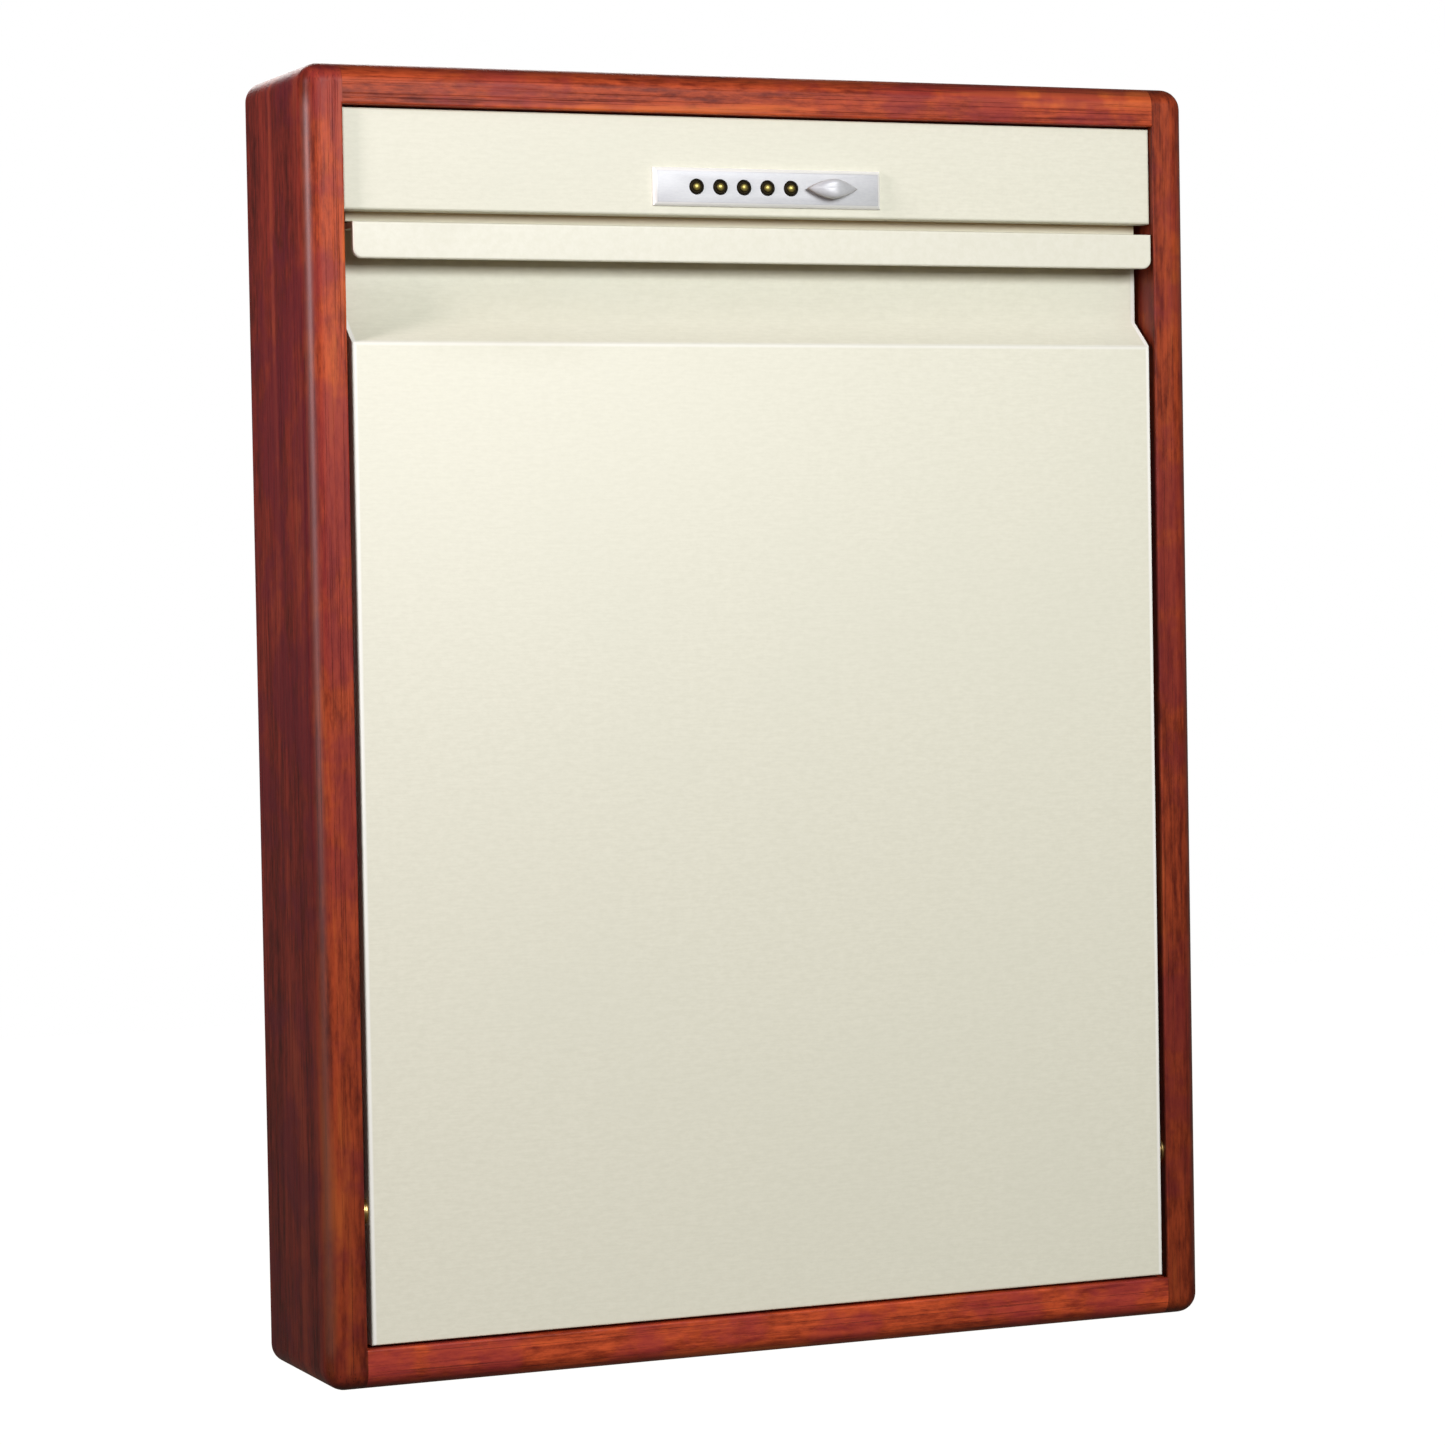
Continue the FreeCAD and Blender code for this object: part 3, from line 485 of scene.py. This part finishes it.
def cream_foil(name, shift, sheen):
    """Cream foil on board: a fine mottle over faint level fibres, with a satin face."""
    finish, place = new_finish(name)
    sheet = place.moved(*shift)
    mottle = sheet.stretched(0.6, 1.0, 1.0).noise(420.0, 5.0, 0.68)
    fibre = sheet.stretched(0.12, 1.0, 1.0).noise(900.0, 3.0, 0.6)
    cloud = sheet.noise(9.0, 3.0, 0.55)
    tone = mottle * 0.6 + fibre * 0.4
    colour = tone.rise(0.32, 0.68).blend(foil_dark, foil_pale)
    colour = (cloud.rise(0.4, 0.75) * 0.3).blend(colour, (0.78, 0.785, 0.67))
    return finish, place, colour, tone, sheen + tone * 0.14


finish, place, colour, tone, gloss = cream_foil("fascia_foil", (0.2, 0.1, 0.0), 0.34)
lay_on(finish, colour, gloss, tone, 0.00006, {})
dress(finish, "fascia")

# Painted shade: the strip is darkened brown up where the fascia hides it.
finish, place, colour, tone, gloss = cream_foil("guard_paint", (0.5, 0.3, 0.1), 0.42)
gap_shade = place.along("Z").rise(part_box("door_board")[1].z + 0.002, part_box("fascia")[0].z + 0.001)
colour = (gap_shade * 0.9).blend(colour, (0.31, 0.17, 0.05))
lay_on(finish, colour, gloss, tone, 0.00004, {})
pressed_edge = 0.0003
ease("guard_strip", "case", finish, pressed_edge)
angle_steel = plated_steel("bracket_steel", (0.60, 0.60, 0.58), (0.46, 0.46, 0.45), 0.3, (0.06, 0.06, 1.0))
ease("fascia_bracket_left", "case", angle_steel, pressed_edge)
ease("fascia_bracket_right", "case", angle_steel, pressed_edge)


# The lock's case. A pressed tray of zinc-plated steel with two ears, behind the fascia, and a flat cover
# held by two small screws. It holds the chamber, the button springs, the crank and the bolt.
case_steel = plated_steel("lock_case_steel", (0.64, 0.63, 0.60), (0.50, 0.49, 0.47), 0.3, (0.06, 1.0, 1.0))
cover_edge = 0.0004
ease("lock_case", "case", case_steel, pressed_edge)
ease("lock_cover", "case", case_steel, cover_edge)
dress(case_steel, "turn_washer")
die_cast, place = new_finish("chamber_casting")
skin = place.noise(800.0, 4.0, 0.6)
lay_on(die_cast, skin.rise(0.3, 0.7).blend((0.50, 0.38, 0.18), (0.62, 0.50, 0.26)), skin * 0.3 + 0.35,
       skin, 0.00005, {"Metallic": 1.0})
ease("code_chamber", "case", die_cast, pressed_edge)


# The button springs. Coils of spring wire around the stems, between each button's collar and the chamber.
wire_steel = plated_steel("spring_wire", (0.50, 0.50, 0.51), (0.38, 0.38, 0.39), 0.22, (1.0, 1.0, 1.0))
wire_r, coils, coil_steps, button_travel = 0.0002, 5, 24, 0.0025
for number in range(1, 6):
    node = "button_spring_%d" % number
    low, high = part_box(node)
    middle, coil_r = (low + high) / 2, (high.x - low.x) / 2 - wire_r
    mesh = bmesh.new()
    across = Matrix.Translation((middle.x + coil_r, low.y + wire_r, middle.z))
    bmesh.ops.create_circle(mesh, cap_ends=True, radius=wire_r, segments=10, matrix=across)
    rise = (high.y - low.y - 2 * wire_r) / (coils * coil_steps)
    bmesh.ops.spin(mesh, geom=mesh.verts[:] + mesh.edges[:] + mesh.faces[:], cent=middle, axis=(0, 1, 0),
                   dvec=(0, rise, 0), angle=coils * math.tau, steps=coils * coil_steps)
    bmesh.ops.recalc_face_normals(mesh, faces=mesh.faces)
    spring = keep_piece(node + "_wound", mesh, wire_steel, "case", node)
    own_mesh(spring)


# The lock's plate. A bevelled casting with a satin silver finish, drawn against the fascia by screws
# from behind. The five buttons and the thumb-turn come through it.
silver_pale, silver_dark, silver_metal = (0.66, 0.67, 0.71), (0.58, 0.59, 0.64), 0.12


def satin_silver(name):
    """Satin silver lacquer on a zinc casting, with a very fine grain. Gives its parts, to be laid on."""
    finish, place = new_finish(name)
    grain = place.stretched(0.25, 1.0, 1.0).noise(1700.0, 4.0, 0.6)
    cloud = place.noise(120.0, 3.0)
    colour = (grain * 0.6 + cloud * 0.4).rise(0.3, 0.7).blend(silver_dark, silver_pale)
    return finish, place, colour, grain


finish, place, colour, grain = satin_silver("plate_silver")
low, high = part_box("lock_plate")
middle, half = (low + high) / 2, (high - low) / 2
# Painted highlight: the bevel all round the plate is painted white.
bevel_from, bevel_to = 0.0019, 0.0015
bevel_highlight_x = abs(place.along("X") - middle.x).rise(half.x - bevel_from, half.x - bevel_to)
bevel_highlight_z = abs(place.along("Z") - middle.z).rise(half.z - bevel_from, half.z - bevel_to)
colour = bevel_highlight_x.larger(bevel_highlight_z).blend(colour, (1.0, 1.0, 1.0))
lay_on(finish, colour, grain * 0.16 + 0.34, grain, 0.00002, {"Metallic": silver_metal})
ease("lock_plate", "case", finish, pressed_edge)


# The buttons. Turned brass with a domed crown inside a groove and a rim, a stem through the fascia and a
# collar that the spring bears on. The crowns are polished by fingers, and the rims are darker.
cap_r, stem_r, collar_thick, tip_chamfer, spring_gap = 0.0034, 0.0020, 0.0015, 0.0003, 0.0003
crown_r, crown_high, crown_lean = 0.0021, 0.0009, math.radians(66)
for number in range(1, 6):
    node = "button_%d" % number
    low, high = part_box(node)
    centre = Vector(((low.x + high.x) / 2, low.y, (low.z + high.z) / 2))
    cap_back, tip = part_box("fascia")[0].y - low.y, high.y - low.y
    collar_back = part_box("button_spring_%d" % number)[0].y - spring_gap - low.y
    collar_front = collar_back - collar_thick

    # The outline runs over the crown, down into the groove, over the rim and back along the stem.
    outline = [(0.0, 0.0)]
    for step in range(1, 7):
        lean = crown_lean * step / 6
        outline.append((crown_r * math.sin(lean) / math.sin(crown_lean),
                        crown_high * (1 - math.cos(lean)) / (1 - math.cos(crown_lean))))
    outline += [(0.0023, 0.0012), (0.0026, 0.0012), (0.0027, 0.0008), (0.0029, 0.0006), (0.0032, 0.0008),
                (cap_r, 0.0013), (cap_r, cap_back), (stem_r, cap_back), (stem_r, collar_front),
                (cap_r, collar_front), (cap_r, collar_back), (stem_r, collar_back),
                (stem_r, tip - tip_chamfer), (stem_r - tip_chamfer, tip), (0.0, tip)]
    mesh = bmesh.new()
    turned(mesh, outline, centre, Vector((0, 1, 0)), 48)

    finish, place = new_finish("button_brass_%d" % number)
    from_axis = place.moved(-centre.x, 0.0, -centre.z).stretched(1.0, 0.0, 1.0).length()
    worn = place.noise(900.0, 4.0, 0.6)
    # The rims are coloured darker than the crowns.
    darkening = (from_axis + worn * 0.0008).rise(0.0015, 0.0026)
    colour = darkening.blend((0.42, 0.34, 0.10), (0.030, 0.022, 0.010))
    lay_on(finish, colour, darkening * 0.2 + worn * 0.15 + 0.30, worn, 0.00003, {"Metallic": 0.85})
    keep_piece(node + "_turned", mesh, finish, node, node)


# The thumb-turn. A lozenge grip cast in one with its spindle, in the plate's finish. The grip is full at
# its middle and falls away to both tips, and its edge is rolled over for the fingers.
low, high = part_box("thumb_turn")
spindle_x, spindle_z = (low.x + high.x) / 2, (low.z + high.z) / 2
room = 0.0001
grip_long, grip_tall = (high.x - low.x) / 2 - room, (high.z - low.z) / 2 - room
grip_thick, tip_thick, spindle_r, spindle_chamfer = 0.0060, 0.0024, 0.0030, 0.0004
rolled_edge = ((1.0, 0.30), (0.995, 0.50), (0.975, 0.66), (0.94, 0.78), (0.88, 0.875), (0.79, 0.94),
               (0.66, 0.98), (0.48, 1.0), (0.25, 1.0), (0.05, 1.0))
mesh = bmesh.new()
bmesh.ops.create_circle(mesh, cap_ends=True, radius=1.0, segments=96)
for vert in mesh.verts:
    along, up = vert.co.x, vert.co.y
    swell = (1.0 - abs(along) ** 1.5) * 0.9 + math.sqrt(max(0.0, 1.0 - along * along)) * 0.1
    vert.co = Vector((along, 0.0, math.copysign(swell, up) if abs(up) > 1e-6 else 0.0))
back, size = list(mesh.faces), 1.0
grown = back
for new_size, depth in rolled_edge:
    made = bmesh.ops.extrude_face_region(mesh, geom=grown)["geom"]
    if grown is not back:
        bmesh.ops.delete(mesh, geom=grown, context="FACES_ONLY")
    grown = [part for part in made if isinstance(part, bmesh.types.BMFace)]
    rim = [part for part in made if isinstance(part, bmesh.types.BMVert)]
    bmesh.ops.scale(mesh, verts=rim, vec=(new_size / size, 1.0, new_size / size))
    for vert in rim:
        vert.co.y = depth
    size = new_size
for vert in mesh.verts:
    thick = tip_thick + (grip_thick - tip_thick) * math.cos(vert.co.x * math.pi / 2) ** 1.2
    vert.co = Vector((spindle_x + vert.co.x * grip_long, low.y + grip_thick - vert.co.y * thick,
                      spindle_z + vert.co.z * grip_tall))
bmesh.ops.recalc_face_normals(mesh, faces=mesh.faces)
neck_r, sunk, plate_gap = 1.4 * spindle_r, 0.001, 0.0003
stem_long = high.y - low.y - grip_thick
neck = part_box("lock_plate")[0].y - plate_gap - low.y - grip_thick
turned(mesh, [(0.0, -sunk), (neck_r, -sunk), (neck_r, neck), (spindle_r, neck),
              (spindle_r, stem_long - spindle_chamfer), (spindle_r - spindle_chamfer, stem_long),
              (0.0, stem_long)],
       Vector((spindle_x, low.y + grip_thick, spindle_z)), Vector((0, 1, 0)), 32)

# Painted shade: the back of the grip's edge, next to the plate, is darkened brown.
finish, place, colour, grain = satin_silver("turn_silver")
rim_shade = place.along("Y").rise(low.y + 0.0030, low.y + 0.0052)
colour = (rim_shade * 0.8).blend(colour, (0.26, 0.19, 0.13))
lay_on(finish, colour, grain * 0.16 + rim_shade * 0.2 + 0.3, grain, 0.00002, {"Metallic": silver_metal})
keep_piece("thumb_turn_cast", mesh, finish, "thumb_turn", "thumb_turn")
crank_edge, short_edge = 0.0002, 0.002
ease("turn_crank", "thumb_turn", case_steel, crank_edge, short_edge)


# The latch bolt. A steel tongue with a slotted head. The crank's pin runs in the slot and drops the tongue
# out of the case, into the mortise in the head of the door.
bolt_steel = plated_steel("bolt_steel", (0.62, 0.61, 0.59), (0.47, 0.46, 0.45), 0.28, (1.0, 1.0, 0.06))
bolt_edge = 0.0004
ease("latch_bolt", "latch_bolt", bolt_steel, bolt_edge, short_edge)


# The door. A heavy board wrapped in cream foil. A finger recess with a sloped foot is routed across its
# whole head, behind the pull rail. Painted highlights run down the softened side edges and along the
# fold at the recess's foot, painted shade lies in the recess under the rail's lip, and hands have left
# faint marks by the rail.
finish, place, colour, tone, gloss = cream_foil("door_foil", (0.0, 0.0, 0.0), 0.33)
low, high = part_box("door_board")
bevel_foot, lip_foot, board_edge, long_edge = 0.1770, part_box("pull_rail")[0].z, 0.0009, 0.012
# Painted highlight: the side edges and the fold at the recess's foot are painted paler.
edge = abs(place.along("X")).rise(high.x - 0.0026, high.x - 0.0015)
fold_highlight = 1.0 - abs(place.along("Z") - bevel_foot).rise(0.0004, 0.0016)
colour = edge.larger(fold_highlight * 0.6).blend(colour, (0.96, 0.96, 0.92))
# Painted shade: the recess under the rail's lip is darkened brown.
darkening = place.along("Z").rise(lip_foot - 0.009, lip_foot + 0.002)
darkening = darkening * (place.noise(60.0, 3.0) * 0.3 + 0.55)
colour = darkening.blend(colour, (0.27, 0.18, 0.075))
handled = place.along("Z").rise(high.z - 0.075, high.z - 0.03) * place.noise(14.0, 4.0, 0.6).rise(0.48, 0.7)
colour = (handled * 0.22).blend(colour, (0.70, 0.68, 0.53))
lay_on(finish, colour, gloss + handled * 0.1, tone, 0.00006, {})
ease("door_board", "door", finish, board_edge, long_edge)


# The writing panel. A thin sheet of pale grey laminate on the inner face of the door, which makes a desk
# of it when it is down. Writing has scuffed it across the middle.
laminate, place = new_finish("writing_laminate")
fleck = place.noise(1300.0, 3.0, 0.7)
scuffed = place.stretched(1.0, 1.0, 0.35).noise(26.0, 5.0, 0.7).rise(0.52, 0.72)
colour = fleck.rise(0.3, 0.7).blend((0.60, 0.60, 0.585), (0.70, 0.70, 0.685))
colour = (scuffed * 0.3).blend(colour, (0.54, 0.54, 0.52))
lay_on(laminate, colour, scuffed * 0.2 + fleck * 0.1 + 0.3, fleck, 0.00002, {})
panel_edge = 0.0004
ease("writing_panel", "door", laminate, panel_edge, long_edge)


# The pull rail. A folded rail of cream-painted metal over the head of the door. Its lip hangs in front of
# the recess, with rounded lower corners, and fingers pull the door down by it. Six screws hold it.
paint, place = new_finish("rail_paint")
peel = place.noise(650.0, 3.0, 0.55)
speckle = place.noise(300.0, 5.0, 0.65)
rubbed = place.noise(18.0, 4.0, 0.6).rise(0.5, 0.72)
colour = speckle.rise(0.30, 0.70).blend((0.825, 0.815, 0.70), (0.865, 0.855, 0.75))
colour = (rubbed * 0.18).blend(colour, (0.76, 0.745, 0.62))
lay_on(paint, colour, rubbed * 0.1 + peel * 0.12 + 0.26, peel, 0.00004, {"Coat Weight": 0.15})
dress(paint, "pull_rail")


# The strike. A steel plate let into the head of the door under the rail, over the bolt's mortise.
strike_steel = plated_steel("strike_steel", (0.60, 0.59, 0.57), (0.44, 0.43, 0.42), 0.32, (0.06, 1.0, 1.0))
ease("strike_plate", "door", strike_steel, pressed_edge, short_edge)


low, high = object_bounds()
